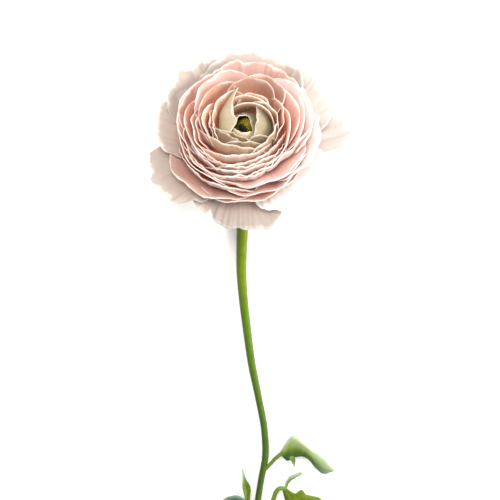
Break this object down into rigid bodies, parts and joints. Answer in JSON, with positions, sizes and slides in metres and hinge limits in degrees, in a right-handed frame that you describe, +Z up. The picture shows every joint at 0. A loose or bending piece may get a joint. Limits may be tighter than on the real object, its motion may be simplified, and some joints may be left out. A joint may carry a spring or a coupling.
{
  "type": "ranunculus flower",
  "caption": "Cut ranunculus lying down: a full double bloom of layered thin petals round a green eye, on a slender bent stem with small lobed leaves.",
  "frame": {"origin": "middle of the flower's footprint, on the surface it lies on", "axes": "+Z up from the surface, +Y along the stem towards the bloom, +X to the side that the upper leaf is on"},
  "size_m": [0.0841, 0.2578, 0.0411],
  "materials": {
    "petals": "matte",
    "eye": "matte",
    "sepals": "satin",
    "stem": "satin",
    "upper_leaf": "satin",
    "right_leaf": "satin",
    "left_leaf": "satin"
  },
  "bodies": {
    "root": {"bloom_petals": "petals", "carpel_head": "eye", "calyx": "sepals", "stem": "stem", "leaf_upper": "upper_leaf", "leaf_lower_right": "right_leaf", "leaf_lower_left": "left_leaf"}
  },
  "joints": []
}
